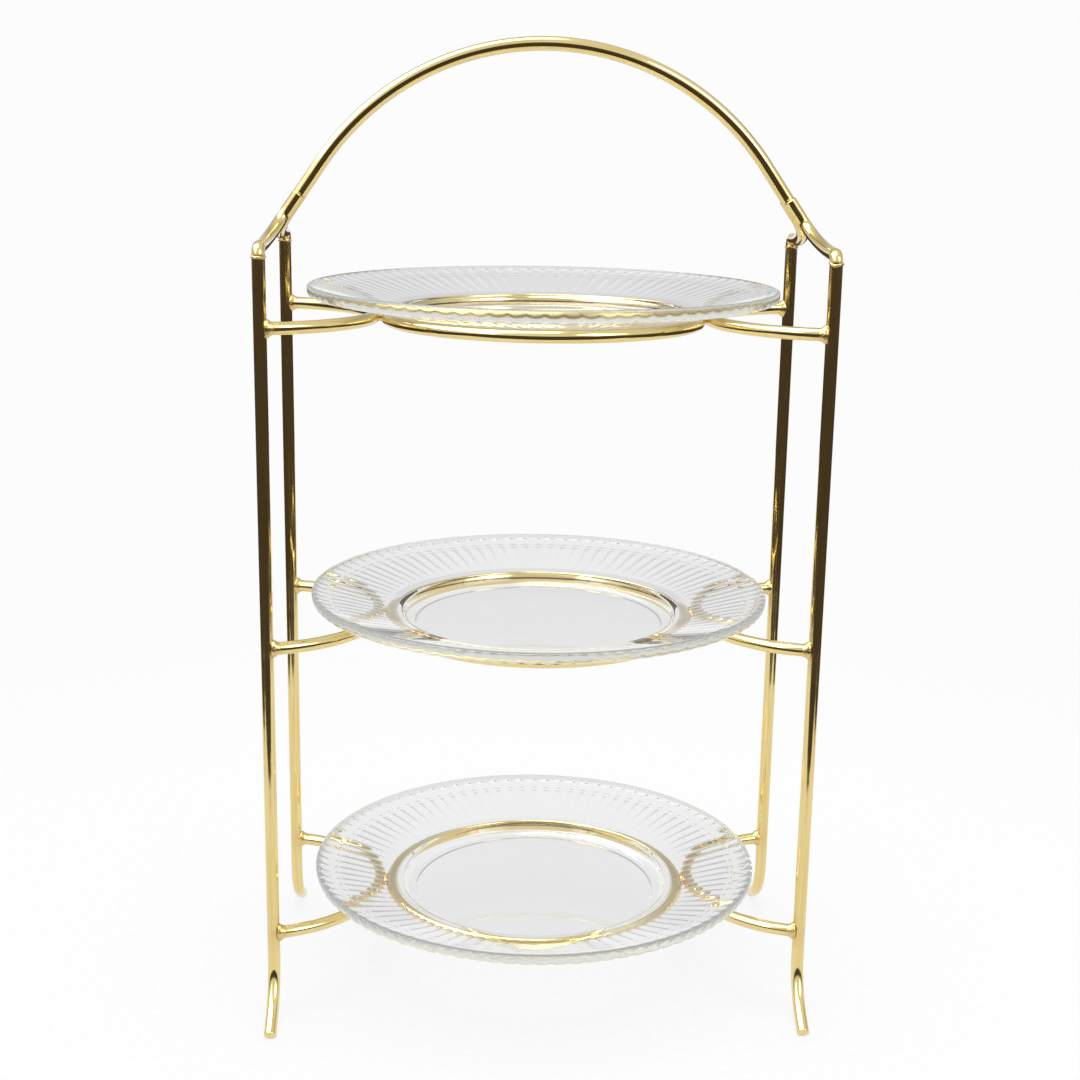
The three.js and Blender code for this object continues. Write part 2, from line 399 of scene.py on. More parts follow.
# %% [markdown]
# ## Putting a finished mesh into the scene
#
# A bmesh is only a workbench. When a piece is done, its doubles are merged, its faces are
# turned outwards, and it becomes an object at the origin with its place in its mesh, as the
# CAD nodes are. The same helper checks that the skin is closed.


# %% From bmesh to object
MERGE_REACH = 0.005 * MM


def place_piece(name, bm, material, body, replaces=()):
    bmesh.ops.remove_doubles(bm, verts=bm.verts[:], dist=MERGE_REACH)
    bmesh.ops.recalc_face_normals(bm, faces=bm.faces[:])
    for face in bm.faces:
        face.smooth = True
    open_edges = sum(1 for edge in bm.edges if not edge.is_manifold)
    mesh = bpy.data.meshes.new(name)
    bm.to_mesh(mesh)
    bm.free()
    mesh.materials.append(material)
    piece = bpy.data.objects.new(name, mesh)
    bpy.context.scene.collection.objects.link(piece)
    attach(piece, body)
    if replaces:
        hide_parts(*replaces)
    if open_edges:
        print(f"{name}: {open_edges} open edges")
    return piece


# %% [markdown]
# ## Where the welds are
#
# The frame has four kinds of weld. A butt weld joins every fork arm to the top of its leg, a
# lap weld joins it to the end of the handle, a fillet weld holds every end of a bracket to a
# leg, and a small weld joins the middle of every bracket to its ring. The rods need to know
# these places first, for the colour that the heat leaves.

# %% Weld places
HANDLE_OUTWARDS = Vector((math.sin(ARCH_END_ANGLE), 0, -math.cos(ARCH_END_ANGLE)))
ARC_END = ARCH_CENTRE + ARCH_RADIUS * Vector((math.cos(ARCH_END_ANGLE), 0, math.sin(ARCH_END_ANGLE)))
HANDLE_END = ARC_END + ARCH_STRAIGHT_LENGTH * HANDLE_OUTWARDS
LAP_OFFSET = HANDLE_ROD_RADIUS + ROD_RADIUS + WELD_GAP


def mirrored(vector, side_x=1, side_y=1):
    return Vector((vector.x * side_x, vector.y * side_y, vector.z))


BRACKET_WELD_X = BOW_END_X + 1.5 * MM
weld_places = []
for side_x in SIDES_X.values():
    for height in TIER_HEIGHT.values():
        weld_places.append(Vector((side_x * (RING_RADIUS + ROD_RADIUS), 0, height)))
        for side_y in SIDES_Y.values():
            weld_places.append(Vector((side_x * BRACKET_WELD_X, side_y * LEG_Y, height)))
    for side_y in SIDES_Y.values():
        weld_places.append(Vector((side_x * LEG_X, side_y * LEG_Y, LEG_TOP)))
        lap_middle = HANDLE_END - HANDLE_OUTWARDS * ARM_LAP_LENGTH / 2
        weld_places.append(mirrored(lap_middle + Vector((0, LAP_OFFSET / 2, 0)), side_x, side_y))
print(len(weld_places), "weld places")

# %% [markdown]
# ## A wire bender
#
# All the metal is one kind of thing: a straight round rod, cut to length and bent. A curve
# object with a round bevel would make it quickly, but it would keep no memory of the straight
# rod for the drawn lines. So this class works as the machine does. It starts with a circle,
# feeds it forward by extruding the open edge, and bends by turning each new circle about the
# centre of the bend. Every point remembers where it was on the straight rod.
#
# A cut end needs one more full circle close to it. The shading is smooth, so without that
# circle the tilt of the rounded end would be spread along the whole last length of the rod.
# The rods are switched off for diffuse rays, because the light they throw on the table would
# tint it cream, and the table is to stay white.

# %% The bender
ROD_SIDES = 28
HEAT_REACH = 7 * MM

# Width of each circle of a cut end, its rise, and what a dome adds to the rise, by rod radius.
END_CIRCLES = ((1.0, 0.05, 0.0), (0.93, 0.13, 0.0), (0.82, 0.18, 0.0), (0.45, 0.18, 0.5), (0.15, 0.19, 0.62))


class BentRod:
    def __init__(self, radius, start, heading):
        self.bm = bmesh.new()
        self.space = self.bm.verts.layers.float_vector.new("rod_space")
        self.radius = radius
        self.point = start.copy()
        self.heading = heading.normalized()
        self.length = 0.0
        circle = bmesh.ops.create_circle(self.bm, radius=radius, segments=ROD_SIDES)["verts"]
        for vert in circle:
            vert[self.space] = vert.co
        stand = Vector((0, 0, 1)).rotation_difference(self.heading).to_matrix().to_4x4()
        bmesh.ops.transform(self.bm, matrix=Matrix.Translation(start) @ stand, verts=circle)
        self.open_edges = self.bm.edges[:]
        self.first_edges = self.open_edges[:]
        self.first_point = self.point.copy()
        self.first_heading = self.heading.copy()

    def step(self, matrix, distance, edges=None, across=1.0):
        """Extrudes the open edge and moves the new one by matrix. Returns the new edge."""
        grown = bmesh.ops.extrude_edge_only(self.bm, edges=edges or self.open_edges)["geom"]
        verts = [item for item in grown if isinstance(item, bmesh.types.BMVert)]
        fresh = set(verts)
        rim = [item for item in grown if isinstance(item, bmesh.types.BMEdge)
               and item.verts[0] in fresh and item.verts[1] in fresh]
        bmesh.ops.transform(self.bm, matrix=matrix, verts=verts)
        for vert in verts:
            old = vert[self.space]
            vert[self.space] = (old.x * across, old.y * across, old.z + distance)
        return rim

    def feed(self, length, steps=1):
        for _ in range(steps):
            ahead = Matrix.Translation(self.heading * length / steps)
            self.open_edges = self.step(ahead, length / steps)
        self.point = self.point + self.heading * length
        self.length += length

    def bend(self, centre, axis, angle, steps):
        turn = Matrix.Rotation(angle / steps, 4, axis)
        about = Matrix.Translation(centre) @ turn @ Matrix.Translation(-centre)
        arc = (self.point - centre).length * abs(angle)
        for _ in range(steps):
            self.open_edges = self.step(about, arc / steps)
            self.point = about @ self.point
            self.heading = (turn.to_3x3() @ self.heading).normalized()
        self.length += arc

    def lead_to(self, point, heading):
        """One step to a given point and heading, for a free sweep."""
        heading = heading.normalized()
        turn = self.heading.rotation_difference(heading).to_matrix().to_4x4()
        move = Matrix.Translation(point) @ turn @ Matrix.Translation(-self.point)
        distance = (point - self.point).length
        self.open_edges = self.step(move, distance)
        self.point = point.copy()
        self.heading = heading
        self.length += distance

    def round_end(self, edges, point, outwards, sign, dome):
        """A cut end with its edge taken off: a last full circle, four smaller ones and a face."""
        reached = 0.0
        width = 1.0
        for new_width, rise, bulge in END_CIRCLES:
            shrink = new_width / width
            ahead = ((rise + bulge * dome) * self.radius) - reached
            there = Matrix.Translation(point + outwards * (reached + ahead))
            back = Matrix.Translation(-(point + outwards * reached))
            edges = self.step(there @ Matrix.Scale(shrink, 4) @ back, sign * ahead, edges, shrink)
            reached += ahead
            width = new_width
        lid = bmesh.ops.edgeloop_fill(self.bm, edges=edges)["faces"]
        bmesh.ops.poke(self.bm, faces=lid)

    def cut_ends(self, start_dome=0.0, end_dome=0.0):
        self.round_end(self.first_edges, self.first_point, -self.first_heading, -1, start_dome)
        self.round_end(self.open_edges, self.point, self.heading, 1, end_dome)

    def finish(self, name, mirror=(1, 1)):
        if mirror != (1, 1):
            flip = Matrix.Diagonal((mirror[0], mirror[1], 1, 1))
            bmesh.ops.transform(self.bm, matrix=flip, verts=self.bm.verts[:])
        self.bm.normal_update()
        heat = self.bm.verts.layers.float.new("weld_heat")
        for vert in self.bm.verts:
            nearest = min((vert.co - place).length for place in weld_places)
            vert[heat] = math.exp(-((nearest / HEAT_REACH) ** 2))
        piece = place_piece(f"{name}_rod", self.bm, gold_plate, "stand", (name,))
        piece.visible_diffuse = False
        print(f"{name}: {self.length / MM:.0f} mm of rod")
        return piece


# %% [markdown]
# ## Legs
#
# A leg is an upright rod whose foot bends outwards, away from the middle of the stand. The end
# is domed where it was tumbled before plating, and ground flat where it stands on the table.
# One leg is bent in the back right corner and mirrored to the others.


# %% Legs
FLAT_ABOVE_FLOOR = 0.02 * MM


def bend_leg():
    rod = BentRod(ROD_RADIUS, Vector((LEG_X, LEG_Y, LEG_TOP)), Vector((0, 0, -1)))
    rod.feed(LEG_TOP - FOOT_BEND_START, steps=24)
    bend_centre = Vector((LEG_X, LEG_Y + FOOT_BEND_RADIUS, FOOT_BEND_START))
    rod.bend(bend_centre, Vector((1, 0, 0)), FOOT_BEND_ANGLE, steps=16)
    rod.feed((rod.point.z - FOOT_END_HEIGHT) / math.cos(FOOT_BEND_ANGLE), steps=2)
    rod.cut_ends(end_dome=0.35)
    everything = rod.bm.verts[:] + rod.bm.edges[:] + rod.bm.faces[:]
    cut = bmesh.ops.bisect_plane(rod.bm, geom=everything, plane_co=(0, 0, FLAT_ABOVE_FLOOR),
                                 plane_no=(0, 0, -1), clear_outer=True)["geom_cut"]
    rim = [item for item in cut if isinstance(item, bmesh.types.BMEdge)]
    bmesh.ops.edgeloop_fill(rod.bm, edges=rim)
    return rod


for depth, side_y in SIDES_Y.items():
    for side, side_x in SIDES_X.items():
        bend_leg().finish(f"leg_{depth}_{side}", (side_x, side_y))

# %% [markdown]
# ## Handle
#
# The handle is a single heavier rod: a straight length, a wide round arch over the top, and a
# straight length down the other side. It lies in the middle plane, between the fork arms.

# %% Handle
ARCH_SWEEP = math.pi - 2 * ARCH_END_ANGLE
handle = BentRod(HANDLE_ROD_RADIUS, mirrored(HANDLE_END, -1), mirrored(-HANDLE_OUTWARDS, -1))
handle.feed(ARCH_STRAIGHT_LENGTH, steps=4)
handle.bend(ARCH_CENTRE, Vector((0, 1, 0)), ARCH_SWEEP, steps=96)
handle.feed(ARCH_STRAIGHT_LENGTH, steps=4)
handle.cut_ends()
handle.finish("handle_arch")

# %% [markdown]
# ## Fork arms
#
# A fork arm starts beside the end of the handle, runs along it, sweeps out to the level and
# turns down onto the top of its leg. The sweep is not an arc, so its circles are led along a
# Bezier curve, which is how the arm was drawn. Again one arm, the back right one, serves for
# all four.

# %% Fork arms
SWEEP_STEPS = 28


def bezier(points, share):
    """The point and the heading at share of the way along a cubic Bezier curve."""
    a, b, c, d = points
    rest = 1 - share
    place = a * rest**3 + b * (3 * rest**2 * share) + c * (3 * rest * share**2) + d * share**3
    heading = (b - a) * rest**2 + (c - b) * (2 * rest * share) + (d - c) * share**2
    return place, heading


def bend_fork_arm():
    start = HANDLE_END - HANDLE_OUTWARDS * ARM_LAP_LENGTH + Vector((0, LAP_OFFSET, 0))
    rod = BentRod(ROD_RADIUS, start, HANDLE_OUTWARDS)
    rod.feed(ARM_STRAIGHT_LENGTH, steps=4)
    outwards = Vector((0, 1, 0))
    elbow_start = Vector((LEG_X, LEG_Y - ELBOW_RADIUS, ARM_LEVEL))
    sweep = (rod.point.copy(), rod.point + HANDLE_OUTWARDS * ARM_SWEEP_PULL,
             elbow_start - outwards * ARM_LEVEL_PULL, elbow_start)
    for number in range(1, SWEEP_STEPS + 1):
        rod.lead_to(*bezier(sweep, number / SWEEP_STEPS))
    elbow_centre = elbow_start - Vector((0, 0, ELBOW_RADIUS))
    rod.bend(elbow_centre, Vector((-1, 0, 0)), math.pi / 2, steps=14)
    rod.cut_ends()
    return rod


for depth, side_y in SIDES_Y.items():
    for side, side_x in SIDES_X.items():
        bend_fork_arm().finish(f"fork_arm_{depth}_{side}", (side_x, side_y))

# %% [markdown]
# ## Rings
#
# A ring is a rod bent through a full turn and welded to itself. The bender does the same: it
# turns through 360 degrees and the last circle is merged with the first. The joint lies under
# the weld of the left bracket. The two sides of the joint are at opposite ends of the straight
# rod, so the drawn lines would be squeezed into one step there; they are stored for the
# corners of the faces instead of for the points, and the last step is given its own values.

# %% Rings
RING_STEPS = 176


def bend_ring(tier):
    centre = Vector((0, 0, TIER_HEIGHT[tier]))
    start = centre - Vector((RING_RADIUS, 0, 0))
    rod = BentRod(ROD_RADIUS, start, Vector((0, -1, 0)))
    rod.bend(centre, Vector((0, 0, 1)), 2 * math.pi, steps=RING_STEPS)
    corner_space = rod.bm.loops.layers.float_vector.new("rod_space_corners")
    for face in rod.bm.faces:
        for loop in face.loops:
            loop[corner_space] = loop.vert[rod.space]
    return rod


def finish_ring(rod, name):
    """Renames the corner layer, so that the material finds it as rod_space."""
    piece = rod.finish(name)
    attributes = piece.data.attributes
    attributes.remove(attributes["rod_space"])
    attributes["rod_space_corners"].name = "rod_space"
    return piece


for tier in TIERS:
    finish_ring(bend_ring(tier), f"ring_{tier}")

# %% [markdown]
# ## Brackets
#
# A bracket is one rod bent to a bow. Its middle touches the side of the ring, and its ends run
# into the inner sides of a front leg and a back leg. The ends go two millimetres further than
# the CAD solid, into the weld. The right bracket is bent, and the left one mirrors it.

# %% Brackets
BRACKET_REACH = 2.2 * MM


def bend_bracket(tier):
    height = TIER_HEIGHT[tier]
    centre = Vector((BOW_NEAR_X + BOW_RADIUS, 0, height))
    spoke = Vector((-math.cos(BOW_HALF_ANGLE), math.sin(BOW_HALF_ANGLE), 0)) * BOW_RADIUS
    heading = Vector((0, 0, 1)).cross(spoke).normalized()
    rod = BentRod(ROD_RADIUS, centre + spoke - heading * BRACKET_REACH, heading)
    rod.feed(BRACKET_REACH)
    rod.bend(centre, Vector((0, 0, 1)), 2 * BOW_HALF_ANGLE, steps=56)
    rod.feed(BRACKET_REACH)
    rod.cut_ends()
    return rod


for tier in TIERS:
    for side, side_x in SIDES_X.items():
        bend_bracket(tier).finish(f"bracket_{side}_{tier}", (side_x, 1))

# %% [markdown]
# ## Welds
#
# The welds are what makes the cage look made by hand. A fillet weld flares from the rod to the
# leg like the mouth of a trumpet, and stands proud above and below the rod, where the torch
# got in. It is spun from a short profile and then pushed into shape. The smaller welds are
# drops that lie in the groove between two rods, and a thin collar marks each butt weld. All of
# them are plated with the rest, so they share the gold, with a rougher skin.

# %% Shaping a weld
WELD_STEPS = 32


def turn_from_z(direction):
    return Vector((0, 0, 1)).rotation_difference(direction.normalized()).to_matrix().to_4x4()


def ripple(point, seed, size):
    """A soft lumpiness that is the same each time."""
    return noise.noise(point / (1.6 * MM) + Vector((seed, 2.0 * seed, -seed))) * size


def place_weld(name, bm):
    heat = bm.verts.layers.float.new("weld_heat")
    space = bm.verts.layers.float_vector.new("rod_space")
    for vert in bm.verts:
        vert[heat] = 0.8
        vert[space] = vert.co
    return place_piece(name, bm, gold_weld, "stand")


# %% Fillet welds, from the brackets to the legs
FILLET = ((0.0, -3.4), (3.42, -3.4), (3.60, -2.6), (3.9, -1.8), (4.4, -1.2), (4.9, -0.6),
          (5.1, 0.0), (4.9, 0.7), (4.1, 1.6), (0.0, 2.0))


def make_fillet(name, tip, heading, seed):
    """tip is where the middle of the rod meets the skin of the leg."""
    bm = bmesh.new()
    verts = [bm.verts.new((radius * MM, 0, along * MM)) for radius, along in FILLET]
    edges = [bm.edges.new(pair) for pair in zip(verts, verts[1:])]
    bmesh.ops.spin(bm, geom=verts + edges, cent=(0, 0, 0), axis=(0, 0, 1), angle=2 * math.pi,
                   steps=WELD_STEPS, use_merge=True)
    stand = turn_from_z(heading)
    rise = stand.inverted().to_3x3() @ Vector((0, 0, 1))
    for vert in bm.verts:
        across = Vector((vert.co.x, vert.co.y, 0))
        if across.length < 1e-6:
            continue
        # The bead is full above and below the rod and thin at its sides.
        upright = abs(across.normalized().dot(rise))
        proud = max(0.0, across.length - ROD_RADIUS)
        swell = 0.18 + 0.82 * upright**3
        lump = 1 + 0.22 * noise.noise(Vector((seed, across.normalized().dot(rise) * 2.0, seed * 0.7)))
        reach = min(across.length, ROD_RADIUS) + proud * swell * lump
        reach += ripple(vert.co, seed, 0.16 * MM) * min(1.0, proud / MM)
        vert.co = across.normalized() * reach + Vector((0, 0, vert.co.z))
    bmesh.ops.transform(bm, matrix=Matrix.Translation(tip) @ stand, verts=bm.verts[:])
    return place_weld(name, bm)


SEED_STEP = 3.7
FILLET_REACH = 1.3 * MM
end_turn = math.pi / 2 - BOW_HALF_ANGLE
seed = 1.0
for tier in TIERS:
    for side, side_x in SIDES_X.items():
        for depth, side_y in SIDES_Y.items():
            heading = Vector((side_x * math.cos(end_turn), side_y * math.sin(end_turn), 0))
            end = Vector((side_x * BOW_END_X, side_y * LEG_Y, TIER_HEIGHT[tier]))
            tip = end + heading * FILLET_REACH
            make_fillet(f"weld_bracket_{depth}_{side}_{tier}", tip, heading, seed)
            seed += SEED_STEP


# %% Drops between two rods that lie side by side
def make_drop(name, centre, along, half_sizes, seed):
    """half_sizes are across the groove, along the rods, and through it."""
    bm = bmesh.new()
    bmesh.ops.create_uvsphere(bm, u_segments=24, v_segments=16, radius=1)
    bmesh.ops.scale(bm, vec=half_sizes, verts=bm.verts[:])
    for vert in bm.verts:
        # Rings along the drop, one for each time the torch stopped.
        bulge = 1 + 0.10 * math.sin(vert.co.y / (0.55 * MM) + seed)
        vert.co = Vector((vert.co.x * bulge, vert.co.y, vert.co.z * bulge))
        vert.co += vert.co.normalized() * ripple(vert.co, seed, 0.25 * MM)
    across = Vector((0, 0, 1)).cross(along).normalized() if abs(along.z) < 0.5 else Vector((0, 1, 0))
    through = across.cross(along)
    turn = Matrix((across, along.normalized(), through)).transposed().to_4x4()
    bmesh.ops.transform(bm, matrix=Matrix.Translation(centre) @ turn, verts=bm.verts[:])
    return place_weld(name, bm)


RING_DROP = (1.7 * MM, 4.4 * MM, 2.7 * MM)
LAP_DROP = (1.6 * MM, 8.0 * MM, 3.0 * MM)
LAP_DROP_FROM_ARM_END = 9 * MM
HALF_GAP = 0.15 * MM

for tier in TIERS:
    for side, side_x in SIDES_X.items():
        centre = Vector((side_x * (RING_RADIUS + ROD_RADIUS + HALF_GAP), 0, TIER_HEIGHT[tier]))
        make_drop(f"weld_ring_{side}_{tier}", centre, Vector((0, 1, 0)), RING_DROP, seed)
        seed += SEED_STEP

for side, side_x in SIDES_X.items():
    for depth, side_y in SIDES_Y.items():
        lap = HANDLE_END - HANDLE_OUTWARDS * (ARM_LAP_LENGTH - LAP_DROP_FROM_ARM_END)
        centre = mirrored(lap + Vector((0, HANDLE_ROD_RADIUS + HALF_GAP, 0)), side_x, side_y)
        along = mirrored(HANDLE_OUTWARDS, side_x)
        make_drop(f"weld_lap_{depth}_{side}", centre, along, LAP_DROP, seed)
        seed += SEED_STEP

# %% Collars where the fork arms stand on the legs
COLLAR_BEAD = 0.85 * MM
COLLAR_SUNK = 0.35 * MM


def make_collar(name, centre, seed):
    bm = bmesh.new()
    bmesh.ops.create_circle(bm, radius=COLLAR_BEAD, segments=10)
    stand_up = Matrix.Translation((ROD_RADIUS - COLLAR_SUNK, 0, 0)) @ Matrix.Rotation(math.pi / 2, 4, "X")
    bmesh.ops.transform(bm, matrix=stand_up, verts=bm.verts[:])
    bmesh.ops.spin(bm, geom=bm.verts[:] + bm.edges[:], cent=(0, 0, 0), axis=(0, 0, 1),
                   angle=2 * math.pi, steps=WELD_STEPS, use_merge=True)
    for vert in bm.verts:
        angle = math.atan2(vert.co.y, vert.co.x)
        sag = 0.35 * MM * math.sin(2 * angle + seed) + 0.25 * MM * math.sin(3 * angle - seed)
        vert.co += Vector((0, 0, sag))
        vert.co += Vector((vert.co.x, vert.co.y, 0)).normalized() * ripple(vert.co, seed, 0.22 * MM)
    bmesh.ops.transform(bm, matrix=Matrix.Translation(centre), verts=bm.verts[:])
    return place_weld(name, bm)


for side, side_x in SIDES_X.items():
    for depth, side_y in SIDES_Y.items():
        centre = Vector((side_x * LEG_X, side_y * LEG_Y, LEG_TOP + HALF_GAP))
        make_collar(f"weld_elbow_{depth}_{side}", centre, seed)
        seed += SEED_STEP

# %% [markdown]
# ## Plates
#
# A plate is pressed glass with a flat sunk centre, a stepped wall and a wide sloping rim. Under
# the rim run ninety flutes, rounded like reeds, with sharp valleys between them. A valley
# starts at nothing near the wall and deepens outwards. Just before the edge it stops, a short
# dimple follows, and the valleys come back as scallops round the lower edge. A displacement
# map could fake them, but light runs through the whole thickness here, so they are real
# shape. The mould for such a plate is cut one flute at a time, and so is this mesh: the work is
# one slice four degrees wide, which is then repeated ninety times round the axis.
#
# The section is a closed outline from the axis, out along the underside and back over the top.
# Below, a low foot ring goes round the flat floor. Outside it the glass rises in a slope and
# then in a wall, which keeps the plate in the middle of its ring. Above, the wall of the well
# is a short steep step with rounded corners, which the eye reads as a double line.

# %% The section of a plate
FLUTES = 90
UNDER_START = (88.5, 3.9)
UNDER_END = (128.0, 11.6)
FLUTE_STATIONS = (90.0, 92.0, 95.5, 100, 105, 110, 114, 116.4, 117.6, 118.4, 119.1, 119.8, 120.5,
                  121.2, 122.4, 124.2, 126.2)


def under_height(radius):
    share = (radius - UNDER_START[0]) / (UNDER_END[0] - UNDER_START[0])
    return UNDER_START[1] + share * (UNDER_END[1] - UNDER_START[1])


# In millimetres: radius, height above the centre of the ring, and how far the corner is rounded.
FLOOR_AND_FOOT = [(0, -4.1, 0), (30, -4.1, 0), (70.6, -4.1, 0.5), (72.2, -4.6, 0.5), (74.6, -4.5, 1.0),
                  (81.0, -1.5, 0.9), (82.9, 3.82, 0.9), (*UNDER_START, 0)]
UNDER_RIM = [(radius, under_height(radius), 0) for radius in FLUTE_STATIONS]
EDGE = [(*UNDER_END, 0.7), (130.5, 13.0, 0.7), (131, 14.6, 0), (131, 17.2, 0), (130.6, 18.0, 0.35),
        (129.0, 18.3, 0.5), (126.0, 17.3, 1.0)]
TOP_AND_WELL = [(103, 11.1, 0), (81.0, 5.25, 1.4), (79.0, 4.3, 0.7), (77.3, 0.9, 0.7), (75.2, -1.2, 1.2),
                (72, -1.2, 0), (30, -1.2, 0), (0, -1.2, 0)]
SECTION = FLOOR_AND_FOOT + UNDER_RIM + EDGE + TOP_AND_WELL
print(len(SECTION), "points in the section of a plate")


# %% [markdown]
# The depth of a valley is given along the radius. Across the flute it follows a power of the
# distance from the crest, which gives a round crest and a sharp valley, as between two reeds.
# Under the rim a point is pushed straight up into the glass. On the outer edge it is pushed
# inwards and up together, and less towards the top, where the edge is smooth.


# %% The flutes
VALLEY_DEPTHS = (
    (88.5, 0.0), (92, 0.16), (100, 0.34), (110, 0.46), (116.4, 0.52), (117.6, 0.36), (118.4, 0.04),
    (119.1, 0.3), (119.8, 0.45), (120.5, 0.28), (121.2, 0.04), (122.4, 0.05), (124.2, 0.22),
    (126.2, 0.45), (128.0, 0.6), (132, 0.55),
)
ACROSS = (0.0, 0.07, 0.16, 0.30, 0.5, 0.70, 0.84, 0.93, 1.0)
CREST_POWER = 1.8
EDGE_INNER = 128.5
EDGE_TOP = 16.4
EDGE_FADE = 2.6
EDGE_SHARE = 0.6
THINNEST_SKIN = 1.0


def valley_depth(radius):
    for (near, first), (far, second) in zip(VALLEY_DEPTHS, VALLEY_DEPTHS[1:]):
        if near <= radius <= far:
            return first + (second - first) * (radius - near) / (far - near)
    return 0.0


def between_reeds(share):
    """One in the valley and nothing on the crest of the flute."""
    return abs(2 * share - 1) ** CREST_POWER


def cut_valley(vert, cut):
    """Moves one point of the underside or the outer edge into the glass; cut is one in a valley."""
    radius = vert.co.xy.length / MM
    height = vert.co.z / MM
    if radius < UNDER_START[0] or height > EDGE_TOP:
        return
    if height > under_height(radius) + THINNEST_SKIN and radius < EDGE_INNER:
        return
    depth = valley_depth(radius) * cut * MM
    if radius > EDGE_INNER:
        fade = max(0.0, min(1.0, (EDGE_TOP - height) / EDGE_FADE))
        vert.co -= vert.co.xy.normalized().to_3d() * depth * EDGE_SHARE * fade
        vert.co.z += depth * EDGE_SHARE * fade
    else:
        vert.co.z += depth


# %% The section as a chain of edges with rounded corners
def draw_section(bm):
    verts = [bm.verts.new((radius * MM, 0, height * MM)) for radius, height, _ in SECTION]
    for pair in zip(verts, verts[1:]):
        bm.edges.new(pair)
    for vert, (_, _, rounding) in zip(verts, SECTION):
        if rounding:
            bmesh.ops.bevel(bm, geom=[vert], offset=rounding * MM, offset_type="OFFSET",
                            affect="VERTICES", segments=4, profile=0.5, material=-1)


# %% One slice, one flute wide
SLICE_ANGLE = 2 * math.pi / FLUTES


def sweep_slice(bm):
    """Sweeps the section across one flute and cuts the valleys at both sides of it."""
    open_edges = bm.edges[:]
    rows = [(0.0, bm.verts[:])]
    turned = 0.0
    for share in ACROSS[1:]:
        grown = bmesh.ops.extrude_edge_only(bm, edges=open_edges)["geom"]
        row = [item for item in grown if isinstance(item, bmesh.types.BMVert)]
        fresh = set(row)
        open_edges = [item for item in grown if isinstance(item, bmesh.types.BMEdge)
                      and item.verts[0] in fresh and item.verts[1] in fresh]
        turn = Matrix.Rotation((share - turned) * SLICE_ANGLE, 3, "Z")
        bmesh.ops.rotate(bm, cent=(0, 0, 0), verts=row, matrix=turn)
        turned = share
        rows.append((share, row))
    for share, row in rows:
        for vert in row:
            cut_valley(vert, between_reeds(share))


# %% [markdown]
# The slice is repeated round the axis with a spin that copies, and the copies are merged where
# they meet. A finished plate is hidden from reflections and from diffuse light. A plate that
# shows in polished rod, or light that is caught between two plates, takes more samples than a
# still picture is worth: it comes out as bright specks in the gold and black facets in the
# glass. Light still passes through the plates, and the eye still sees their own shine.


# %% The whole plate
def press_plate(tier):
    bm = bmesh.new()
    draw_section(bm)
    sweep_slice(bm)
    bmesh.ops.spin(bm, geom=bm.verts[:] + bm.edges[:] + bm.faces[:], cent=(0, 0, 0), axis=(0, 0, 1),
                   angle=2 * math.pi - SLICE_ANGLE, steps=FLUTES - 1, use_duplicate=True)
    bmesh.ops.translate(bm, vec=(0, 0, TIER_HEIGHT[tier]), verts=bm.verts[:])
    name = f"plate_{tier}_glass"
    piece = place_piece(name, bm, clear_glass, f"{tier}_plate", (f"plate_{tier}",))
    piece.visible_diffuse = False
    piece.visible_glossy = False
    print(f"{name}: {len(piece.data.polygons)} faces")


for tier in TIERS:
    press_plate(tier)

# %% [markdown]
# ## Table and room
#
# Polished metal shows its room more than itself. The stand is on a white table in front of a
# white backdrop; the room before the table is dark, and a broad light hangs overhead. So there
# are three parts: a wide pale floor for the eye, a white table top that only reflections see
# and that ends in front of the stand, and a world that is white for the eye and has the dark
# room in it for the metal.
#
# The floor is paper near the stand, where it takes the shadow. Further out it changes softly to
# a plain glow as bright as the backdrop, so that no horizon shows.

# %% Floor
FLOOR_RADIUS = 9.0
PAPER_RADIUS = 0.30
GLOW_RADIUS = 1.1
BACKDROP_WHITE = 0.975


def make_floor_finish():
    material, tree = new_material("pale_floor")
    out = add_node(tree, "ShaderNodeOutputMaterial")
    place = add_node(tree, "ShaderNodeTexCoord").outputs["Object"]
    grain = span(tree, cloud(tree, place, 220.0, detail=3.0), 0.3, 0.7, 0.88, 0.90)
    colour = add_node(tree, "ShaderNodeCombineColor", {"Red": grain, "Green": grain, "Blue": grain})
    paper = add_node(tree, "ShaderNodeBsdfDiffuse", {"Color": colour.outputs["Color"]})
    glow = add_node(tree, "ShaderNodeEmission", {
        "Color": (1, 1, 1, 1), "Strength": BACKDROP_WHITE,
    })
    far = add_node(tree, "ShaderNodeVectorMath", {0: place}, operation="LENGTH").outputs["Value"]
    share = add_node(tree, "ShaderNodeMapRange", {
        "Value": far, "From Min": PAPER_RADIUS, "From Max": GLOW_RADIUS, "To Min": 0.0, "To Max": 1.0,
    }, interpolation_type="SMOOTHSTEP").outputs["Result"]
    both = add_node(tree, "ShaderNodeMixShader", {
        0: share, 1: paper.outputs["BSDF"], 2: glow.outputs["Emission"],
    })
    tree.links.new(both.outputs["Shader"], out.inputs["Surface"])
    return material


def stage_mesh(name, bm, material):
    mesh = bpy.data.meshes.new(name)
    bm.to_mesh(mesh)
    bm.free()
    mesh.materials.append(material)
    piece = bpy.data.objects.new(name, mesh)
    bpy.context.scene.collection.objects.link(piece)
    return piece


bm = bmesh.new()
bmesh.ops.create_circle(bm, cap_ends=True, radius=FLOOR_RADIUS, segments=96)
floor = stage_mesh("floor", bm, make_floor_finish())
floor.visible_glossy = False

# %% Table top that the metal reflects
TABLE_FRONT = -0.42
TABLE_BACK = 1.6
TABLE_HALF_WIDTH = 0.62
TABLE_LIFT = 0.0002


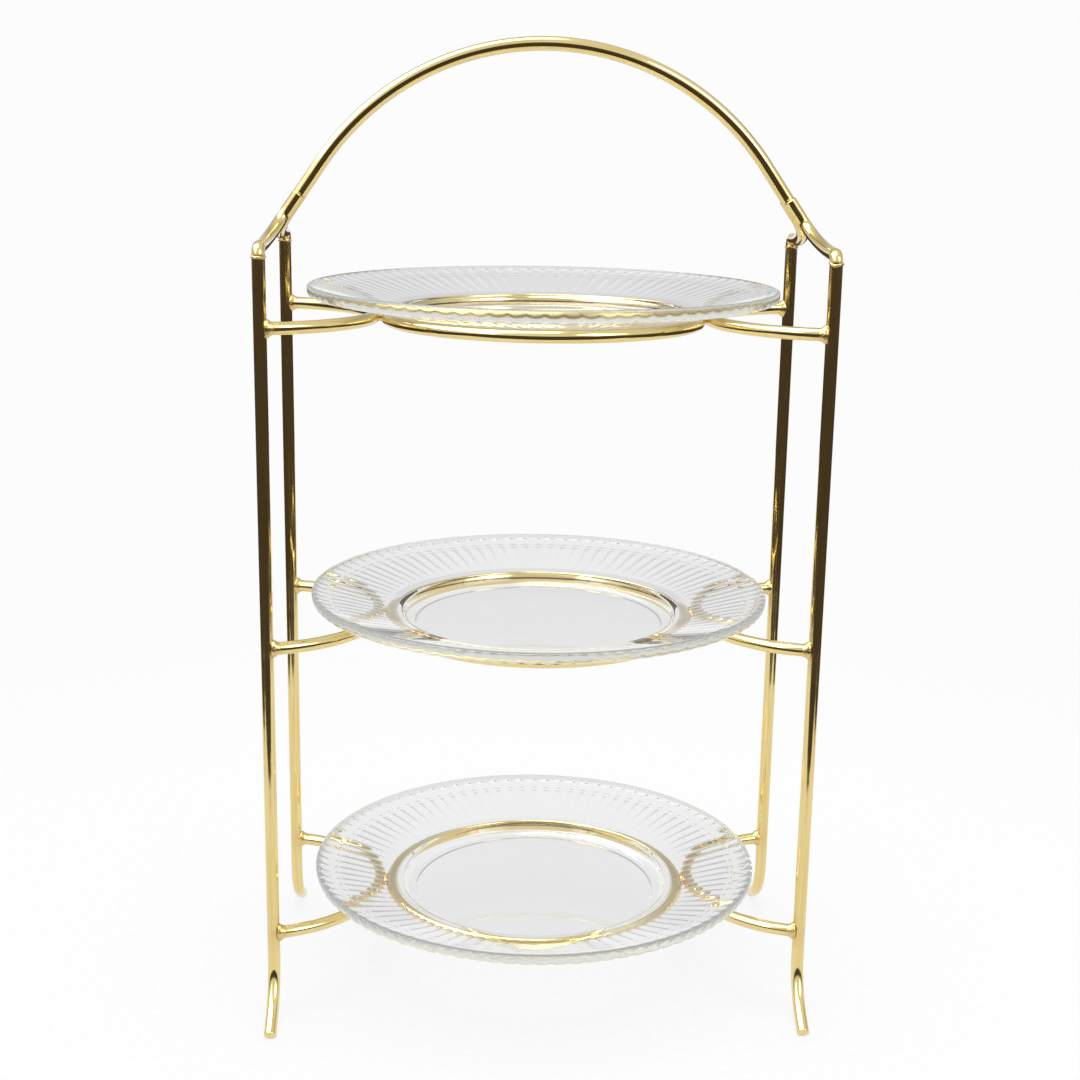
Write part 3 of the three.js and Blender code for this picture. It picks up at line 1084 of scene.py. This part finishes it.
def make_table_finish():
    material, tree = new_material("white_table")
    out = add_node(tree, "ShaderNodeOutputMaterial")
    glow = add_node(tree, "ShaderNodeEmission", {"Color": (1, 0.99, 0.97, 1), "Strength": 0.9})
    tree.links.new(glow.outputs["Emission"], out.inputs["Surface"])
    return material


bm = bmesh.new()
bmesh.ops.create_grid(bm, x_segments=1, y_segments=1, size=0.5)
table_size = (2 * TABLE_HALF_WIDTH, TABLE_BACK - TABLE_FRONT, 1)
bmesh.ops.scale(bm, vec=table_size, verts=bm.verts[:])
bmesh.ops.translate(bm, vec=(0, (TABLE_BACK + TABLE_FRONT) / 2, TABLE_LIFT), verts=bm.verts[:])
table = stage_mesh("white_table", bm, make_table_finish())
table.visible_camera = False
table.visible_diffuse = False
table.visible_transmission = False
table.visible_shadow = False

# %% [markdown]
# ## The room round the stand
#
# The world is drawn by direction. Its three coordinates run to the right, to the back and up,
# and each is between minus one and one. In front of the stand the room is dark up to a little
# above the horizon, and a pale ceiling follows. Behind the stand a white sweep rises from the
# level of the table and turns to a grey wall, with the same ceiling over it; lower down it is
# dark there too, where the table doesn't reach. Two bright panels stand at the sides: their
# reflections are the white stripes along the arch and the rods.

# %% Directions
world = bpy.data.worlds.new("room")
bpy.context.scene.world = world
world.use_nodes = True
tree = world.node_tree
tree.nodes.clear()
direction = add_node(tree, "ShaderNodeTexCoord").outputs["Generated"]
parts = add_node(tree, "ShaderNodeSeparateXYZ", {"Vector": direction})
to_right, to_back, rise = parts.outputs["X"], parts.outputs["Y"], parts.outputs["Z"]

# %% The dark room in front and the pale wall behind
ROOM_DARK = (0.062, 0.048, 0.036, 1)
CEILING = (0.82, 0.82, 0.82, 1)
BACK_WALL_LOW = (0.62, 0.62, 0.62, 1)
BACK_WALL_HIGH = (0.48, 0.48, 0.48, 1)
WHITE = (BACKDROP_WHITE, BACKDROP_WHITE, BACKDROP_WHITE, 1)


def above(value, low, high):
    """Nothing below low, one above high, and a soft change between them."""
    return span(tree, value, low, high, 0.0, 1.0)


ceiling_edge = span(tree, to_back, -0.9, -0.3, 0.17, 0.04)
over_edge = above(maths(tree, "SUBTRACT", rise, ceiling_edge), 0.0, 0.10)
front_part = mix_colours(tree, over_edge, ROOM_DARK, CEILING)

back_low = mix_colours(tree, above(rise, 0.03, 0.09), WHITE, BACK_WALL_LOW)
back_high = mix_colours(tree, above(rise, 0.22, 0.40), back_low, BACK_WALL_HIGH)
back_top = mix_colours(tree, above(rise, 0.50, 0.80), back_high, CEILING)
back_part = mix_colours(tree, above(rise, -0.06, -0.02), ROOM_DARK, back_top)

room = mix_colours(tree, above(to_back, 0.0, 0.35), front_part, back_part)

# %% Panels at the sides
PANEL_GLOW = (4.5, 4.5, 4.5, 1)
PANEL_END_SOFT = 0.02


def panel(side, low_degrees, high_degrees, middle, low_half, high_half):
    """One inside a panel that climbs from low to high; its half width changes on the way up."""
    low, high = math.radians(low_degrees), math.radians(high_degrees)
    climb = maths(tree, "ARCTAN2", rise, maths(tree, "MULTIPLY", to_right, side))
    half = span(tree, climb, low, high, low_half, high_half)
    off = maths(tree, "ABSOLUTE", maths(tree, "SUBTRACT", to_back, middle))
    beside = above(maths(tree, "SUBTRACT", half, off), -0.02, 0.04)
    over_low = above(climb, low - PANEL_END_SOFT, low + PANEL_END_SOFT)
    under_high = span(tree, climb, high - PANEL_END_SOFT, high + PANEL_END_SOFT, 1.0, 0.0)
    return maths(tree, "MULTIPLY", maths(tree, "MULTIPLY", over_low, under_high), beside)


left_panel = panel(-1.0, 31, 96, -0.09, 0.67, 0.22)
right_panel = panel(1.0, 27, 62, -0.60, 0.20, 0.15)
studio = mix_colours(tree, maths(tree, "ADD", left_panel, right_panel), room, PANEL_GLOW)
print("the studio takes", len(tree.nodes), "nodes")

# %% [markdown]
# ## Each ray its own room
#
# A product picture is lit piece by piece with cards and screens that the camera never sees. The
# Light Path node does the same here. The eye sees plain white. Reflections see the studio above.
# Light that has passed through glass sees white, with a light grey low in front, which draws the
# dark lines at the flutes and the well. Everything else, which is the light that falls on the
# floor, comes from an even white dome. A ray through glass counts as a reflection too, so the
# test for transmission comes after the test for gloss, and the test for the eye comes last.

# %% The world's light
GREY_THROUGH_GLASS = (0.60, 0.605, 0.60, 1)
DOME = (1.03, 1.03, 1.03, 1)

low_down = maths(tree, "SUBTRACT", 1.0, above(rise, 0.0, 0.16))
in_front = span(tree, to_back, -0.35, 0.0, 1.0, 0.0)
through = mix_colours(tree, maths(tree, "MULTIPLY", low_down, in_front), WHITE, GREY_THROUGH_GLASS)

path = add_node(tree, "ShaderNodeLightPath")
lit = mix_colours(tree, path.outputs["Is Glossy Ray"], DOME, studio)
lit = mix_colours(tree, path.outputs["Is Transmission Ray"], lit, through)
seen = mix_colours(tree, path.outputs["Is Camera Ray"], lit, WHITE)
room_light = add_node(tree, "ShaderNodeBackground", {"Color": seen, "Strength": 1.0})
out = add_node(tree, "ShaderNodeOutputWorld")
tree.links.new(room_light.outputs["Background"], out.inputs["Surface"])

# %% [markdown]
# ## One lamp, and room to bounce
#
# A wide soft lamp overhead adds the faint shadow that seats the stand on the floor. It is hidden
# from reflections, where the ceiling and the panels are drawn already. A ray may cross three
# plates, front and back, and turn inside the rims, so glass and metal get more bounces than
# usual: with too few of them the rims go black.

# %% Lamp and bounces
LAMP_PLACE = Vector((0.0, -0.15, 1.75))
LAMP_SIDE = 0.9
LAMP_POWER = 3.2

lamp_data = bpy.data.lights.new("overhead", "AREA")
lamp_data.shape = "RECTANGLE"
lamp_data.size = LAMP_SIDE
lamp_data.size_y = LAMP_SIDE
lamp_data.energy = LAMP_POWER
lamp = bpy.data.objects.new("overhead", lamp_data)
lamp.location = LAMP_PLACE
lamp.rotation_mode = "QUATERNION"
lamp.rotation_quaternion = (-LAMP_PLACE).to_track_quat("-Z", "Y")
lamp.visible_camera = False
lamp.visible_glossy = False
bpy.context.scene.collection.objects.link(lamp)

cycles = bpy.context.scene.cycles
cycles.max_bounces = 20
cycles.glossy_bounces = 12
cycles.transmission_bounces = 18
print("lamp of", LAMP_POWER, "W, at most", cycles.max_bounces, "bounces")

# %% [markdown]
# ## Colour as it is
#
# The white of the backdrop has to come out white and the gold saturated, so the view transform
# is the plain one.

# %% View settings
bpy.context.scene.view_settings.view_transform = "Standard"
bpy.context.scene.view_settings.look = "None"
